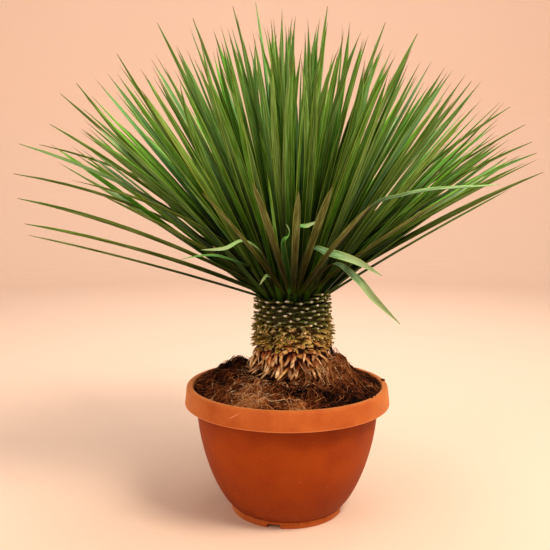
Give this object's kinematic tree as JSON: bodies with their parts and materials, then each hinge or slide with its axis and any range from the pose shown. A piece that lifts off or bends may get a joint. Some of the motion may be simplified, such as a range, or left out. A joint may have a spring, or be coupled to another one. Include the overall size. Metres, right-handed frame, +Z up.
{
  "type": "potted beaked yucca",
  "caption": "Beaked yucca in a bowl pot: a round head of narrow green leaves on a short trunk of cut leaf bases, rooted in a mound of soil.",
  "frame": {"origin": "centre of the pot's foot, on the surface that it stands on", "axes": "+Z up along the pot's axis, -Y the front that the picture shows, +X to the right seen from there"},
  "size_m": [1.0333, 0.9433, 0.9917],
  "materials": {
    "terracotta_plastic": "satin moulded",
    "potting_soil": "rough fibrous",
    "cut_leaf_bases": "rough",
    "dry_leaf_bases": "dry and matt",
    "yucca_leaf": "waxy satin"
  },
  "bodies": {
    "root": {"pot": "terracotta_plastic", "soil": "potting_soil", "trunk": "cut_leaf_bases", "dry_leaf_skirt": "dry_leaf_bases", "leaf_head": "yucca_leaf"}
  },
  "joints": []
}
